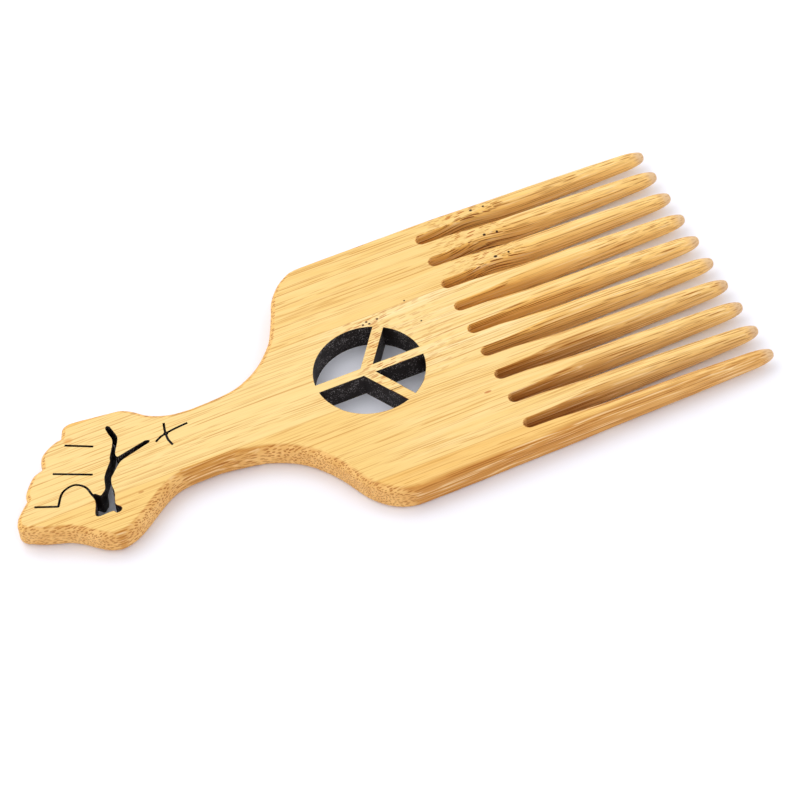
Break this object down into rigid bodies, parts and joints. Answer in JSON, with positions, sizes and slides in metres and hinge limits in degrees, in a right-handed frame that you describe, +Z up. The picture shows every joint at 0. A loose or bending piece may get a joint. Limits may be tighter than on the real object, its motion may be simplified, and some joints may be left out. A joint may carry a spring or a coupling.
{
  "type": "wooden hair pick",
  "caption": "Flat wide-toothed wooden comb with a clenched fist for a handle and a round peace-sign cut-out in its body.",
  "frame": {"origin": "under the middle of the comb, on the surface that it lies on", "axes": "+X from the fist to the tips of the teeth, +Y across the lamellas towards the fingers' side, +Z up through the board's thickness"},
  "size_m": [0.1662, 0.071, 0.006],
  "materials": {
    "bamboo_middle": "sanded smooth, light wax sheen, sawn walls of the sign darkened",
    "bamboo_far": "sanded smooth, light wax sheen",
    "bamboo_near": "sanded smooth, light wax sheen",
    "bamboo_edge": "sanded smooth, light wax sheen",
    "bamboo_finger": "sanded smooth, light wax sheen"
  },
  "bodies": {
    "root": {"middle_lamella": "bamboo_middle", "far_lamella": "bamboo_far", "near_lamella": "bamboo_near", "edge_lamella": "bamboo_edge", "finger_top": "bamboo_finger"}
  },
  "joints": []
}
